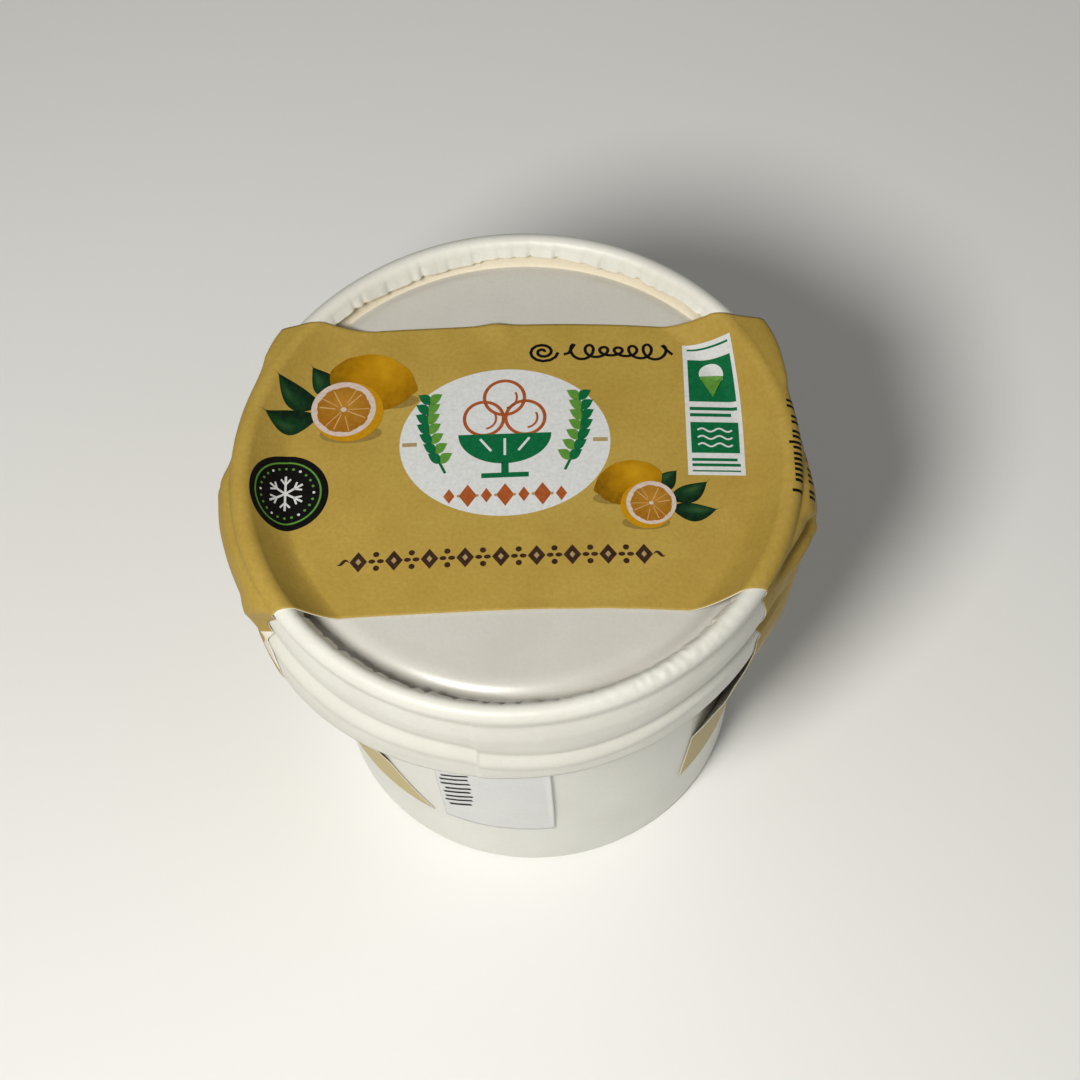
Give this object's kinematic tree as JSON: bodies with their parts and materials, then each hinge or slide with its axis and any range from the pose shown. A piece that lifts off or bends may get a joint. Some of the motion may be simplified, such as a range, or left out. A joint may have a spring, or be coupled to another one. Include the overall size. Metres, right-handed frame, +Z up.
{
  "type": "sorbet cup",
  "caption": "Shut paperboard sorbet tub with a tapered wall, a sunk lid with a curled rim and ribbed skirt, a paper seal band over it and a small label on the wall.",
  "frame": {"origin": "centre of the foot ring, on the surface the tub stands on", "axes": "+Z up, X along the seal band, -Y towards the front with the small label"},
  "size_m": [0.1058, 0.1002, 0.0877],
  "materials": {
    "cup_board": "coated white paperboard, satin",
    "lid_board": "coated white paperboard, satin",
    "lid_disc_board": "coated pale paperboard, satin",
    "buff_paper": "printed buff paper, matt",
    "label_paper": "white label paper, matt"
  },
  "bodies": {
    "root": {"cup": "cup_board", "lid_side": "lid_board", "lid_panel": "lid_disc_board", "seal_band": "buff_paper", "date_label": "label_paper"}
  },
  "joints": []
}
